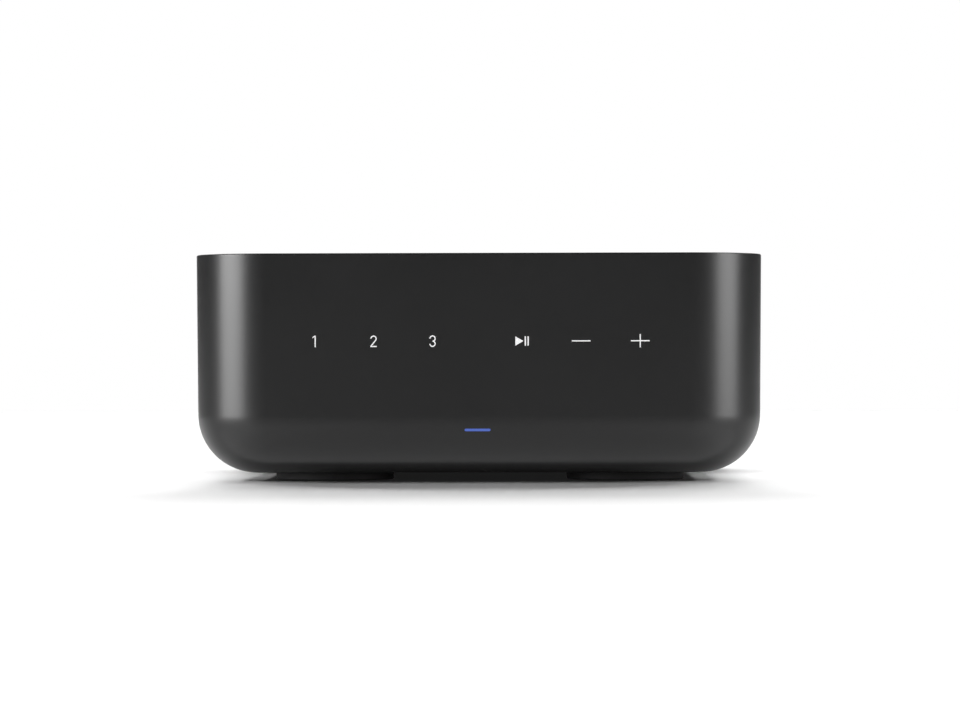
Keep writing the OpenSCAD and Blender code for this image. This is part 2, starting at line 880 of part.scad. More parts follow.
module signal_capacitors() {
    color([0.2, 0.25, 0.35])
        for (p = cap_spots) on_board(p) cylinder(d = cap_d, h = cap_h);
}

// Antennas

module antenna(side) {
    color([0.75, 0.6, 0.25])
        at_side(side, antenna_y, antenna_z)
            translate([0, 0, -wall - antenna_size[2]]) block(antenna_size);
}

function unit(v) = v / norm(v);
function spline(p, i, t) =
    let (a = p[max(i - 1, 0)], b = p[i], c = p[i + 1], d = p[min(i + 2, len(p) - 1)])
    b + t * (c - a) / 2 + t * t * (a - 2.5 * b + 2 * c - d / 2) + t * t * t * (1.5 * (b - c) + (d - a) / 2);
function smooth(p, steps) = concat(
    [for (i = [0:len(p) - 2], k = [0:steps - 1]) spline(p, i, k / steps)],
    [p[len(p) - 1]]
);

// A tube along a list of points
module tube(points, d, sides = 8) {
    up = [0.2, 1, 0.1];
    last = len(points) - 1;
    rings = [
        for (i = [0:last])
            let (
                along = unit(points[min(i + 1, last)] - points[max(i - 1, 0)]),
                across = unit(cross(along, up)),
                other = cross(along, across)
            )
            for (k = [0:sides - 1])
                points[i] + d / 2 * (cos(360 * k / sides) * across + sin(360 * k / sides) * other)
    ];
    polyhedron(rings, concat(
        [[for (k = [0:sides - 1]) k]],
        [for (i = [0:last - 1], k = [0:sides - 1])
            let (a = i * sides, n = (k + 1) % sides)
            [a + k, a + sides + k, a + sides + n]],
        [for (i = [0:last - 1], k = [0:sides - 1])
            let (a = i * sides, n = (k + 1) % sides)
            [a + k, a + sides + n, a + n]],
        [[for (k = [sides - 1:-1:0]) last * sides + k]]
    ));
}

module antenna_cable(route) {
    color([0.15, 0.15, 0.15]) tube(smooth(route, 6), coax_d);
}

// Network socket

module ethernet_shield() {
    color([0.75, 0.75, 0.77])
        at_rear(row_x(net_slot), board_top)
            translate([0, net_h / 2, proud - net_len])
                difference() {
                    block([net_w, net_h, net_len]);
                    translate([0, 0, net_sheet])
                        block([net_w - 2 * net_sheet, net_h - 2 * net_sheet, net_len]);
                }
}

module net_light_places()
    for (side = [-1, 1])
        translate([side * net_light_at[0], net_light_at[1], 0]) children();

module ethernet_insert() {
    skin = net_sheet + fit;
    color([0.08, 0.08, 0.08])
        at_rear(row_x(net_slot), board_top)
            difference() {
                translate([0, net_h / 2, proud - net_len + skin])
                    block([net_w - 2 * skin, net_h - 2 * skin, net_len - skin - net_sheet / 2]);
                translate([0, net_mouth_v + net_mouth[1] / 2, proud - net_mouth[2]])
                    block([net_mouth[0], net_mouth[1], net_mouth[2] + cut]);
                translate([0, net_mouth_v - net_latch[1] / 2, proud - net_mouth[2]])
                    block([net_latch[0], net_latch[1] + eps, net_mouth[2] + cut]);
                translate([0, net_mouth_v - net_latch[1] - net_key[1] / 2, proud - net_mouth[2]])
                    block([net_key[0], net_key[1] + eps, net_mouth[2] + cut]);
                net_light_places() translate([0, 0, proud - net_light[2]])
                    block(net_light + [2 * fit, 2 * fit, cut]);
            }
}

module ethernet_contacts() {
    roof = net_mouth_v + net_mouth[1];
    wire = 0.45;
    color([0.85, 0.68, 0.3])
        at_rear(row_x(net_slot), board_top)
            for (i = [0:7])
                translate([(i - 3.5) * net_pitch + wire / 2, 0, 0]) rotate([0, -90, 0])
                    linear_extrude(wire)
                        polygon([[-1.2, roof], [-2.2, roof], [-9.4, roof - 2.4], [-9.4, roof - 2.9]]);
}

module ethernet_lights() {
    color([0.8, 0.75, 0.3])
        at_rear(row_x(net_slot), board_top)
            net_light_places() translate([0, 0, proud - net_light[2]])
                block(net_light - [0, 0, net_sheet / 2]);
}

// USB socket

module usb_shell() {
    color([0.78, 0.78, 0.8])
        at_rear(row_x(usb_slot), board_top)
            translate([0, usb_out[1] / 2, proud - usb_out[2]])
                difference() {
                    block(usb_out);
                    translate([0, 0, usb_sheet])
                        block(usb_out - [2 * usb_sheet, 2 * usb_sheet, 0]);
                }
}

module usb_tongue() {
    skin = usb_sheet + fit;
    rear_len = usb_out[2] - usb_tongue_size[2] - 1.2;
    color([0.92, 0.92, 0.92])
        at_rear(row_x(usb_slot), board_top) {
            translate([0, usb_out[1] / 2, proud - usb_out[2] + skin])
                block([usb_out[0] - 2 * skin, usb_out[1] - 2 * skin, rear_len - skin]);
            translate([0, usb_tongue_v + usb_tongue_size[1] / 2, proud - usb_out[2] + rear_len - eps])
                block(usb_tongue_size);
        }
}

module usb_contacts() {
    strip = [1, 0.15, 6.5];
    color([0.85, 0.68, 0.3])
        at_rear(row_x(usb_slot), board_top)
            for (x = usb_pitch)
                translate([x, usb_tongue_v - strip[1] / 2, proud - strip[2] - 2]) block(strip);
}

// Optical socket and its shutter

module mouth_outline(half) {
    polygon([
        [-half, half], [-half, -half + optical_cut], [-half + optical_cut, -half],
        [half - optical_cut, -half], [half, -half + optical_cut], [half, half],
    ]);
}

module optical_frame()
    at_rear(row_x(optical_slot), board_top + optical_rise) children();

module shutter_axis(len, r)
    translate([-len / 2, shutter_v, shutter_w]) rotate([0, 90, 0]) cylinder(r = r, h = len);

module optical_socket() {
    color([0.07, 0.07, 0.07])
        optical_frame()
            difference() {
                translate([-optical_w / 2, -optical_rise, proud - optical_len])
                    cube([optical_w, optical_rise + optical_top, optical_len]);
                translate([0, 0, proud - optical_lip - cut]) linear_extrude(optical_lip + 2 * cut)
                    mouth_outline(optical_mouth);
                translate([-optical_room, -optical_room, proud - optical_deep])
                    cube([2 * optical_room, optical_room + optical_roof, optical_deep - optical_lip]);
                shutter_axis(
                    2 * (shutter_half + shutter_pin_len + shutter_side),
                    shutter_pin_d / 2 + shutter_pin_gap
                );
            }
}

module optical_shutter() {
    color([0.13, 0.13, 0.13])
        optical_frame() {
            translate([-shutter_half, -shutter_half, shutter_w - shutter_t / 2])
                cube([2 * shutter_half, shutter_half + shutter_v, shutter_t]);
            shutter_axis(2 * shutter_half, shutter_t / 2);
            for (turn = [0, 180])
                translate([0, shutter_v, shutter_w]) rotate([0, turn, 0]) translate([shutter_half, 0, 0])
                    rotate([0, 90, 0]) cylinder(d = shutter_pin_d, h = shutter_pin_len);
        }
}

module optical_emitter() {
    color([0.75, 0.1, 0.1])
        optical_frame()
            translate([0, 0, proud - optical_deep]) cylinder(r = emitter_r, h = emitter_len);
}

// Line sockets

module line_block_at(i) {
    color([0.1, 0.1, 0.1])
        translate([row_x(i), panel_back - line_block[1] / 2, board_top]) block(line_block);
}

// One jack at each of the given heights, on both blocks
module at_jacks(rises)
    for (i = [line_out_slot, line_in_slot], rise = rises)
        at_rear(row_x(i), board_top + rise) translate([0, 0, -panel_t]) children();

module line_shells() {
    color([0.82, 0.82, 0.83])
        at_jacks(line_rise) translate([0, 0, line_flange_t])
            rotate_extrude()
                polygon([
                    [line_bore_r, 0], [line_shell_r, 0], [line_shell_r, line_len - line_tip],
                    [line_shell_r - line_tip, line_len], [line_bore_r, line_len],
                ]);
}

module line_insert() {
    hole_r = line_pin_r + line_contact_t + fit;
    core_r = line_bore_r - fit;
    core_end = line_flange_t + line_len - 2 * line_tip;
    rotate_extrude()
        polygon([
            [hole_r, 0], [line_flange_r, 0], [line_flange_r, line_flange_t], [core_r, line_flange_t],
            [core_r, core_end], [hole_r, core_end],
        ]);
}

module line_left_inserts() {
    color([0.92, 0.92, 0.9]) at_jacks([line_rise[1]]) line_insert();
}

module line_right_inserts() {
    color([0.75, 0.08, 0.08]) at_jacks([line_rise[0]]) line_insert();
}

module line_contacts() {
    color([0.8, 0.66, 0.32])
        at_jacks(line_rise)
            rotate_extrude()
                translate([line_pin_r, 0])
                    square([line_contact_t, line_flange_t + line_len - 3 * line_tip]);
}

// Setup button, its plunger and its switch

module setup_axis(y)
    translate([row_x(setup_slot), y, board_top + setup_rise]) rotate([-90, 0, 0]) children();

module setup_switch() {
    color([0.1, 0.1, 0.1])
        difference() {
            translate([row_x(setup_slot), switch_y - switch_size[1] / 2, board_top]) block(switch_size);
            setup_axis(button_back - plunger_len - button_travel - plunger_gap)
                cylinder(d = plunger_d + 2 * plunger_gap, h = plunger_len + button_travel + plunger_gap);
        }
}

module setup_button() {
    color([0.16, 0.16, 0.16]) {
        setup_axis(button_back) cylinder(d = button_d, h = panel_y + button_proud - button_back);
        setup_axis(button_back) cylinder(d = button_flange_d, h = button_flange_t);
    }
}

module setup_plunger() {
    color([0.85, 0.85, 0.83])
        setup_axis(button_back - plunger_len) cylinder(d = plunger_d, h = plunger_len);
}

// Power board and what is on it

module power_board() {
    color([0.55, 0.45, 0.2]) board(power_rect, power_holes);
}

module mains_frame()
    at_rear(row_x(mains_slot), board_top + mains_h / 2) children();

module mains_inlet() {
    color([0.06, 0.06, 0.06])
        mains_frame()
            difference() {
                translate([0, 0, proud - mains_len]) block([mains_w, mains_h, mains_len]);
                translate([0, 0, proud - mains_deep]) linear_extrude(mains_deep + cut) {
                    square([mains_pitch, mains_waist], center = true);
                    for (side = [-1, 1])
                        translate([side * mains_pitch / 2, 0]) circle(mains_r);
                }
                for (side = [-1, 1])
                    translate([side * mains_pitch / 2, 0, proud - mains_len - cut])
                        cylinder(d = mains_pin_d + 2 * fit, h = mains_len);
            }
}

module mains_pins() {
    color([0.8, 0.8, 0.78])
        mains_frame()
            for (side = [-1, 1])
                translate([side * mains_pitch / 2, 0, proud - mains_len]) {
                    length = mains_len - mains_deep + mains_pin_len - mains_pin_d / 2;
                    cylinder(d = mains_pin_d, h = length);
                    translate([0, 0, length]) sphere(d = mains_pin_d);
                }
}

module transformer_core() {
    window = (core_size[0] - 3 * core_leg) / 2;
    color([0.2, 0.2, 0.21])
        on_board(core_at)
            difference() {
                block(core_size);
                for (side = [-1, 1])
                    translate([side * (core_leg + window) / 2, 0, core_leg])
                        block([window, core_size[1] + 2 * cut, core_size[2] - 2 * core_leg]);
            }
}

module transformer_coil() {
    window = (core_size[0] - 3 * core_leg) / 2;
    height = core_size[2] - 2 * core_leg - 2 * coil_gap;
    outer = core_leg + 2 * window - 2 * coil_gap;
    color([0.9, 0.75, 0.2])
        on_board(core_at) translate([0, 0, core_leg + coil_gap])
            difference() {
                block([outer, core_size[1] + window * 2, height]);
                translate([0, 0, -cut])
                    block([core_leg + 2 * coil_gap, core_size[1] + 2 * coil_gap, height + 2 * cut]);
            }
}

module bulk_capacitor() {
    color([0.12, 0.15, 0.3])
        on_board(bulk_at) cylinder(d = bulk_d, h = bulk_h);
}

module mains_choke() {
    color([0.25, 0.35, 0.2])
        on_board(choke_at)
            rotate_extrude() translate([choke_r[0], 0]) square([choke_r[1] - choke_r[0], choke_h]);
}

module mains_fuse() {
    color([0.1, 0.1, 0.1])
        on_board(fuse_at) block(fuse_size);
}

module output_capacitors() {
    color([0.12, 0.12, 0.14])
        for (p = output_spots) on_board(p) cylinder(d = output_cap_d, h = output_cap_h);
}

header_xs = [main_rect[1] - header_in, power_rect[0] + header_in];

module power_headers() {
    color([0.93, 0.92, 0.88])
        for (x = header_xs) on_board([x, header_y]) block(header_size);
}

module power_lead() {
    reach = (header_xs[1] - header_xs[0]) / 2;
    middle = header_xs[0] + reach;
    color([0.7, 0.1, 0.1])
        for (i = [-1:1])
            translate([middle, header_y + i * wire_pitch, board_top + header_size[2]])
                rotate([90, 0, 0]) rotate_extrude(angle = 180) translate([reach, 0]) circle(d = wire_d);
}

housing();
top_cover();
rear_panel();
foot(-1, -1);  // foot_front_left
foot(1, -1);  // foot_front_right
foot(-1, 1);  // foot_rear_left
foot(1, 1);  // foot_rear_right
cover_screws();
rear_panel_screws();
key_symbols();
status_light_guide();
touch_board();
touch_light_guides();
touch_lights();
status_light();
touch_board_screws();
ribbon_cable();
ribbon_sockets();
main_board();
board_screws();
processor();
heat_sink();
board_chips();
radio_module();
network_transformer();
signal_capacitors();
antenna(-1);  // antenna_left
antenna(1);  // antenna_right
antenna_cable(coax_left);  // antenna_cable_left
antenna_cable(coax_right);  // antenna_cable_right
ethernet_shield();
ethernet_insert();
ethernet_contacts();
ethernet_lights();
usb_shell();
usb_tongue();
usb_contacts();
optical_socket();
optical_shutter();
optical_emitter();
line_block_at(line_out_slot);  // line_out_block
line_block_at(line_in_slot);  // line_in_block
line_shells();
line_left_inserts();
line_right_inserts();
line_contacts();
setup_switch();
setup_button();
setup_plunger();
power_board();
mains_inlet();
mains_pins();
transformer_core();
transformer_coil();
bulk_capacitor();
mains_choke();
mains_fuse();
output_capacitors();
power_headers();
power_lead();
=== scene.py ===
from math import cos, radians, sin, tan

import bmesh
import bpy
import numpy as np
from mathutils import Matrix, Vector


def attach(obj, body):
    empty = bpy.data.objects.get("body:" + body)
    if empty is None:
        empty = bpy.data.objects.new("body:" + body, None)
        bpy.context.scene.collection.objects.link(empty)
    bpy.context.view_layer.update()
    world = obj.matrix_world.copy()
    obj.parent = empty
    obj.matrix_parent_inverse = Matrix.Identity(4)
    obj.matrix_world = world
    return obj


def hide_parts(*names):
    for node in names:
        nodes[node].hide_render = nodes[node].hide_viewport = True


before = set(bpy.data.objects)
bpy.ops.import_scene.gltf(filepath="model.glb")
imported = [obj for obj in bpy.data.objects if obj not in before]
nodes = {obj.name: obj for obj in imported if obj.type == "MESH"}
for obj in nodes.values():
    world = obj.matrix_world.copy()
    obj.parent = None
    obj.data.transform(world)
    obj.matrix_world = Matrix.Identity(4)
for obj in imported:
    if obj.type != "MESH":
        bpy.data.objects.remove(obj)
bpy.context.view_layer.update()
scene = bpy.context.scene
scene.view_settings.view_transform = "Standard"
mm = 0.001  # shapes are worked out in millimetres and written in metres
print("frame:", len(nodes), "nodes")


class Wire:
    # a shader socket that takes part in arithmetic: each operator adds a Math node
    def __init__(self, finish, socket):
        self.finish = finish
        self.socket = socket

    def maths(self, how, a, b):
        return self.finish.add("ShaderNodeMath", {"operation": how}, {0: a, 1: b})

    def __add__(self, other):
        return self.maths("ADD", self, other)

    def __radd__(self, other):
        return self.maths("ADD", other, self)

    def __sub__(self, other):
        return self.maths("SUBTRACT", self, other)

    def __rsub__(self, other):
        return self.maths("SUBTRACT", other, self)

    def __mul__(self, other):
        return self.maths("MULTIPLY", self, other)

    def __rmul__(self, other):
        return self.maths("MULTIPLY", other, self)


class Finish:
    # a material, or the world, while its nodes are added
    def __init__(self, owner, shader="Principled BSDF", place="Object"):
        owner.use_nodes = True
        self.owner = owner
        self.tree = owner.node_tree
        self.shader = self.tree.nodes[shader]
        self.place = self.add("ShaderNodeTexCoord", {}, {}, place)

    def add(self, kind, settings, inputs, output=0):
        node = self.tree.nodes.new(kind)
        for key, value in settings.items():
            setattr(node, key, value)
        for key, value in inputs.items():
            self.feed(node.inputs[key], value)
        return Wire(self, node.outputs[output])

    def feed(self, socket, value):
        if isinstance(value, Wire):
            self.tree.links.new(value.socket, socket)
        else:
            socket.default_value = value

    def set(self, **values):
        for key, value in values.items():
            self.feed(self.shader.inputs[key.replace("_", " ")], value)

    def noise(self, size, detail, place=None):  # clouds about size mm across
        return self.add("ShaderNodeTexNoise", {}, {
            "Vector": place or self.place, "Scale": 1 / (size * mm), "Detail": detail})

    def squeeze(self, scale):  # coordinates that narrow a pattern along an axis
        return self.add("ShaderNodeMapping", {}, {"Vector": self.place, "Scale": scale})

    def axis(self, name):  # one coordinate in millimetres
        return self.add("ShaderNodeSeparateXYZ", {}, {"Vector": self.place}, name) * (1 / mm)

    def mix(self, factor, a, b):  # blends two colours
        return self.add("ShaderNodeMix", {"data_type": "RGBA"}, {0: factor, 6: a, 7: b}, 2)

    def bump(self, height, depth):  # a normal from a height of 0 to 1, depth in mm
        return self.add("ShaderNodeBump", {}, {"Height": height, "Distance": depth * mm, "Strength": 1.0})


def rgba(colour, share=1.0):  # a colour made darker or lighter
    return (*[min(c * share, 1.0) for c in colour], 1.0)


def grey(level):
    return rgba((level,) * 3)


# Finish of each slot. grain and broad are the sizes of the two patterns in mm, depth the grain's relief
# in mm, tone how far the colour wanders and spread how far the roughness does. squeeze narrows the grain
# along an axis, which leaves it brushed across that axis.
satin = dict(grain=0.32, broad=34.0, grainDetail=3.0, broadDetail=1.0, grainShare=0.6, depth=0.006,
             tone=0.10, spread=0.06, metallic=0.0, specular=0.5, squeeze=None)
finishes = {
    "housing_black": dict(colour=(0.0095, 0.0095, 0.0098), rough=0.34, specular=0.30, depth=0.006),
    "cover_black": dict(colour=(0.0095, 0.0095, 0.0098), rough=0.36, specular=0.30, depth=0.006),
    "panel_black": dict(colour=(0.021, 0.021, 0.022), rough=0.55, grain=0.4, depth=0.010),
    "foot_rubber": dict(colour=(0.012, 0.012, 0.012), rough=0.72, grain=0.5, depth=0.012, specular=0.3),
    "zinc_steel": dict(colour=(0.62, 0.63, 0.65), rough=0.34, metallic=1.0, squeeze=(1, 1, 8)),
    "black_steel": dict(colour=(0.055, 0.055, 0.058), rough=0.38, metallic=0.6),
    "symbol_white": dict(colour=(0.84, 0.84, 0.84), rough=0.55, tone=0.02, depth=0.002),
    "status_blue": dict(colour=(0.05, 0.09, 0.35), rough=0.35, tone=0.04, depth=0.002),
    "clear_guide": dict(colour=(0.82, 0.83, 0.82), rough=0.15, tone=0.02, depth=0.002),
    "lamp_cream": dict(colour=(0.86, 0.80, 0.55), rough=0.25, tone=0.06),
    "board_green": dict(colour=(0.012, 0.085, 0.040), rough=0.36, tone=0.25, grain=1.6, depth=0.010),
    "board_brown": dict(colour=(0.24, 0.15, 0.055), rough=0.50, tone=0.22, grain=0.9, depth=0.008),
    "chip_black": dict(colour=(0.018, 0.018, 0.019), rough=0.62, grain=0.12, depth=0.010),
    "sink_silver": dict(colour=(0.66, 0.67, 0.69), rough=0.40, metallic=1.0, squeeze=(1, 9, 1)),
    "tin_plate": dict(colour=(0.66, 0.66, 0.66), rough=0.30, metallic=1.0, tone=0.07, squeeze=(6, 1, 1)),
    "nickel_plate": dict(colour=(0.72, 0.70, 0.66), rough=0.20, metallic=1.0, tone=0.05, depth=0.002),
    "gold_plate": dict(colour=(0.83, 0.60, 0.22), rough=0.26, metallic=1.0, tone=0.08, depth=0.002),
    "can_blue": dict(colour=(0.03, 0.05, 0.17), rough=0.24, depth=0.002),
    "can_black": dict(colour=(0.016, 0.016, 0.020), rough=0.24, depth=0.002),
    "socket_black": dict(colour=(0.016, 0.016, 0.0165), rough=0.50, grain=0.22, depth=0.006),
    "shutter_black": dict(colour=(0.030, 0.030, 0.031), rough=0.42, grain=0.22, depth=0.006),
    "socket_white": dict(colour=(0.78, 0.78, 0.75), rough=0.38, tone=0.03, depth=0.003),
    "socket_cream": dict(colour=(0.74, 0.68, 0.53), rough=0.42, tone=0.04, depth=0.003),
    "socket_red": dict(colour=(0.52, 0.020, 0.022), rough=0.38, tone=0.05, depth=0.003),
    "lens_red": dict(colour=(0.45, 0.015, 0.018), rough=0.10, tone=0.03, depth=0.001),
    "lamp_amber": dict(colour=(0.70, 0.50, 0.10), rough=0.16, tone=0.04, depth=0.001),
    "ribbon_white": dict(colour=(0.72, 0.73, 0.75), rough=0.36, tone=0.05, squeeze=(5, 1, 1)),
    "wire_red": dict(colour=(0.46, 0.020, 0.022), rough=0.40, tone=0.06),
    "coax_black": dict(colour=(0.022, 0.022, 0.022), rough=0.40, tone=0.10),
    "ferrite_grey": dict(colour=(0.050, 0.050, 0.053), rough=0.66, grain=0.25, depth=0.014),
    "coil_yellow": dict(colour=(0.72, 0.46, 0.035), rough=0.30, tone=0.08, squeeze=(1, 1, 6)),
    "choke_green": dict(colour=(0.030, 0.11, 0.035), rough=0.30, tone=0.12, grain=0.8, depth=0.010),
    "button_grey": dict(colour=(0.050, 0.050, 0.052), rough=0.44, grain=0.25, depth=0.005),
}
glows = dict(status_blue=(0.014, 0.044, 0.227), symbol_white=(0.37, 0.37, 0.37))  # lit from behind


def slotFinish(slot):
    # a fine grain and a broad cloud, blended, shift the colour and the roughness, and the grain gives relief
    s = {**satin, **finishes[slot]}
    f = Finish(bpy.data.materials.new(slot))
    grain = f.noise(s["grain"], s["grainDetail"], s["squeeze"] and f.squeeze(s["squeeze"]))
    broad = f.noise(s["broad"], s["broadDetail"])
    cloud = grain * s["grainShare"] + broad * (1 - s["grainShare"])
    f.set(
        Base_Color=f.mix(cloud, rgba(s["colour"], 1 - s["tone"]), rgba(s["colour"], 1 + s["tone"])),
        Roughness=(cloud - 0.5) * (2 * s["spread"]) + s["rough"],  # the cloud lies about 0.5
        Metallic=s["metallic"],
        Specular_IOR_Level=s["specular"],
        Normal=f.bump(grain, s["depth"]),
    )
    if slot in glows:
        f.set(Emission_Color=rgba(glows[slot]), Emission_Strength=1.0)
    return f.owner


material = {slot: slotFinish(slot) for slot in finishes}
print("finishes:", len(material))


def corners(points, closeU, closeV):
    # numbers of the four corners of each face of a grid, which may close on itself both ways
    number = np.arange(points.shape[0] * points.shape[1]).reshape(points.shape[:2])
    if closeU:
        number = np.concatenate([number, number[:1]], 0)
    if closeV:
        number = np.concatenate([number, number[:, :1]], 1)
    return np.stack([number[:-1, :-1], number[1:, :-1], number[1:, 1:], number[:-1, 1:]], -1)


# Points that agree to these digits become one. The shift keeps round numbers away from the rounding's edge.
joining = dict(digits=4, shift=3.17e-5, crease=32.0, flatWeight=80)


class Shape:
    # grids of points that are joined into one mesh
    def __init__(self):
        self.points = []
        self.faces = []
        self.count = 0

    def grid(self, points, closeU=False, closeV=False, keep=None):
        faces = corners(points, closeU, closeV)
        faces = faces[keep] if keep is not None else faces.reshape(-1, 4)
        self.faces.append(faces + self.count)
        self.points.append(points.reshape(-1, 3))
        self.count += points.shape[0] * points.shape[1]
        return self

    def piece(self, name, slot, replaces, body="housing"):
        # equal points become one, and a face keeps only its different corners
        points = np.concatenate(self.points)
        rounded = np.round(points + joining["shift"], joining["digits"])
        _, first, same = np.unique(rounded, axis=0, return_index=True, return_inverse=True)
        faces = same.reshape(-1)[np.concatenate(self.faces)]
        differs = faces != np.roll(faces, 1, axis=1)
        differs[differs.sum(1) < 3] = False
        totals = differs.sum(1)
        totals = totals[totals > 0]
        mesh = bpy.data.meshes.new(name)
        mesh.vertices.add(len(first))
        mesh.vertices.foreach_set("co", (points[first] * mm).astype(np.float32).ravel())
        mesh.loops.add(int(totals.sum()))
        mesh.loops.foreach_set("vertex_index", faces[differs].astype(np.int32))
        mesh.polygons.add(len(totals))
        mesh.polygons.foreach_set("loop_start", (np.cumsum(totals) - totals).astype(np.int32))
        mesh.update(calc_edges=True)
        mesh.validate()
        work = bmesh.new()
        work.from_mesh(mesh)
        bmesh.ops.recalc_face_normals(work, faces=work.faces[:])
        work.to_mesh(mesh)
        work.free()
        mesh.shade_smooth()
        mesh.set_sharp_from_angle(angle=radians(joining["crease"]))
        mesh.materials.append(material[slot])
        obj = bpy.data.objects.new(name, mesh)
        scene.collection.objects.link(obj)
        # broad faces stay flat beside their rounded edges
        flat = obj.modifiers.new("flat", "WEIGHTED_NORMAL")
        flat.keep_sharp = True
        flat.weight = joining["flatWeight"]
        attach(obj, body)
        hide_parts(*replaces)
        print("piece:", name, len(mesh.vertices), "points", len(mesh.polygons), "faces")


def arc(middle, r, start, stop, count):  # points on a circle from one angle to another
    a = np.radians(np.linspace(start, stop, count + 1))
    return np.stack([middle[0] + r * np.cos(a), middle[1] + r * np.sin(a)], -1)


def turned(shape, profile, centre, axis="z", count=72):
    # a profile of (radius, height) points carried round an axis through centre
    a = np.linspace(0, 2 * np.pi, count, endpoint=False)[:, None]
    r, h = np.asarray(profile, float).T
    across, up, along = r * np.cos(a), r * np.sin(a), np.broadcast_to(h, (count, len(h)))
    cx, cy, cz = centre
    layout = {"z": (cx + across, cy + up, cz + along), "y": (cx + across, cy + along, cz + up)}
    return shape.grid(np.stack(layout[axis], -1), closeU=True)


def atLevel(flat, level):  # plan points with their levels as the third coordinate
    return np.concatenate([flat, np.broadcast_to(level, (*flat.shape[:2], 1))], -1)


def atDepth(flat, y):  # points in x and z with their depths between
    return np.stack([flat[..., 0], np.broadcast_to(y, flat.shape[:-1]), flat[..., 1]], -1)


# The tub: a half section carried round the plan, with the connector bay let into its rear wall
tub = dict(half=66.0, corner=24.0, top=72.0, base=2.8, baseRound=18.5, lean=0.45, wall=2.6, rimRound=0.5,
           rimWidth=1.3, rimSteps=6, lipRound=0.15, lipSteps=3, seat=69.4, cornerSteps=36, baseSteps=44,
           wallSteps=16, bayRows=12, bayTop=64.0)
bay = dict(halfWidth=63.5, halfHeight=18.0, middle=41.0, corner=3.0, edge=0.4, edgeSteps=5, back=78.0,
           collar=2.0, cornerSteps=5, sideSteps=48, rings=10)
foot = dict(spot=47.0, r=19.0, gap=0.2, sink=0.8, edge=0.6, edgeSteps=6, topEdge=0.2, sides=96, seamSteps=12)
fillRings = np.array([1.0, 0.7, 0.35, 0.0])  # rings of a flat face, as shares of its size
slope, upright = tan(radians(tub["lean"])), cos(radians(tub["lean"]))


def wallLine(z, inset=0.0):  # distance of the leaning wall from a corner's axis at a level
    return tub["corner"] - (tub["top"] - z) * slope - inset / upright


roundZ = tub["base"] + tub["baseRound"]
roundX = wallLine(roundZ) - tub["baseRound"] / upright


def skinLine(z, inset=0.0):  # the same with the round foot of the wall
    r = tub["baseRound"] - inset
    curved = roundX + np.sqrt(np.clip(r * r - (z - roundZ) ** 2, 0, None))
    return np.where(z < roundZ - r * sin(radians(tub["lean"])), curved, wallLine(z, inset))


def bayLine():
    # outline of the bay as arc centres and directions, from the low corner at +x round by the low side,
    # the -x side, the top and the +x side; each side has half of the arc at both of its ends
    w, h = bay["halfWidth"] - bay["corner"], bay["halfHeight"] - bay["corner"]
    n, high = bay["cornerSteps"], tub["bayRows"] + tub["wallSteps"] - 2 * bay["cornerSteps"]
    spots = [(w, -h), (-w, -h), (-w, h), (w, h), (w, -h)]
    middles, turns = [], []
    for i, start in enumerate((-45, -135, -225, -315)):
        run = bay["sideSteps"] if i % 2 == 0 else high
        a, b = np.array(spots[i]), np.array(spots[i + 1])
        share = np.concatenate([np.zeros(n), np.linspace(0, 1, run + 1), np.ones(n - 1)])[:, None]
        middles.append(a + (b - a) * share)
        turns.append(np.concatenate([
            np.linspace(start, start - 45, n + 1)[:-1],
            np.full(run + 1, start - 45.0),
            np.linspace(start - 45, start - 90, n + 1)[1:-1],
        ]))
    a = np.radians(np.concatenate(turns))
    return np.concatenate(middles), np.stack([np.cos(a), np.sin(a)], -1)


bayMiddles, bayTurns = bayLine()
bayRun = bay["sideSteps"] + 2 * bay["cornerSteps"]


def bayRing(grow):  # x and z of the bay's outline, grown by a distance
    return bayMiddles + (bay["corner"] + grow) * bayTurns + [0, bay["middle"]]


def tubPath():
    # plan of the tub as corner centres and outward directions; the rear side has the bay's columns
    columns = bayRing(bay["edge"])[:bayRun + 1, 0]
    columns = columns / columns[0]
    evenly = np.array([1.0, 0.0, -1.0])
    middles, turns = [], []
    for i, (sx, sy) in enumerate(((1, 1), (-1, 1), (-1, -1), (1, -1))):
        a = np.linspace(90 * i, 90 * i + 90, tub["cornerSteps"] + 1)
        side = (columns if i == 0 else evenly)[1:-1]
        turns.append(np.concatenate([a, np.full(len(side), a[-1])]))
        run = np.stack([side, np.ones(len(side))], -1)
        quarter = np.radians(90 * i)
        spin = np.array([[np.cos(quarter), np.sin(quarter)], [-np.sin(quarter), np.cos(quarter)]])
        middles.append(np.concatenate([np.tile([sx, sy], (len(a), 1)), run @ spin]) * tub["half"])
    a = np.radians(np.concatenate(turns))
    return np.concatenate(middles), np.stack([np.cos(a), np.sin(a)], -1)


pathMiddles, pathTurns = tubPath()


def swept(section):  # a section of (offset, level) points carried round the plan
    section = np.asarray(section, float)
    flat = pathMiddles[:, None] + section[None, :, :1] * pathTurns[:, None]
    return atLevel(flat, section[None, :, 1:])


def tubSkin(inset):
    # section of one skin of the wall, from the base's edge up its round foot to the bay's top row
    r = tub["baseRound"] - inset
    low = arc((roundX, roundZ), r, -90, -tub["lean"], tub["baseSteps"])
    z = np.linspace(low[-1, 1], tub["bayTop"], tub["wallSteps"] + 1)[1:]
    return np.concatenate([low, np.stack([wallLine(z, inset), z], -1)])


